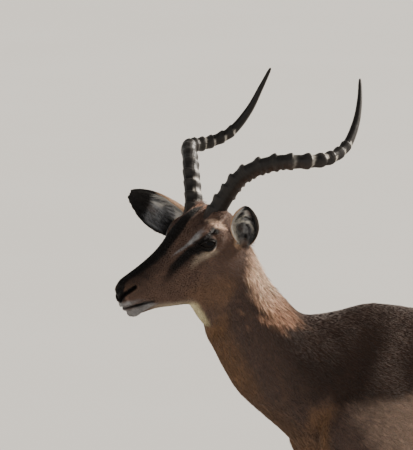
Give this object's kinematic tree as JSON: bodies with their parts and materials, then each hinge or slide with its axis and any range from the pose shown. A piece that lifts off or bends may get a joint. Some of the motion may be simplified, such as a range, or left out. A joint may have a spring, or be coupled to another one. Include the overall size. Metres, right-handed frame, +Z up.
{
  "type": "impala antelope",
  "caption": "Life-size standing impala ram with ringed, lyre-shaped horns, its head raised and turned a little to its left.",
  "frame": {"origin": "on the floor under the middle of the animal's box, at the height of the soles", "axes": "+Z up, the trunk along X with the head towards -X, and the animal's left side towards -Y"},
  "size_m": [1.1916, 0.3872, 1.3109],
  "materials": {
    "coat": "short glossy hair, dark red-brown saddle, tan flank and white belly",
    "pale_coat": "longer white hair with a dark line down the back",
    "horn": "black ringed horn, smooth towards the tips",
    "hoof": "black hoof horn",
    "eye": "wet dark brown eye"
  },
  "bodies": {
    "root": {"head": "coat", "neck": "coat", "trunk": "coat", "foreleg_left": "coat", "foreleg_right": "coat", "hindleg_left": "coat", "hindleg_right": "coat", "ear_left": "coat", "ear_right": "coat", "tail": "pale_coat", "horn_left": "horn", "horn_right": "horn", "forehoof_left_inner": "hoof", "forehoof_left_outer": "hoof", "forehoof_right_inner": "hoof", "forehoof_right_outer": "hoof", "hindhoof_left_inner": "hoof", "hindhoof_left_outer": "hoof", "hindhoof_right_inner": "hoof", "hindhoof_right_outer": "hoof", "eye_left": "eye", "eye_right": "eye"}
  },
  "joints": []
}
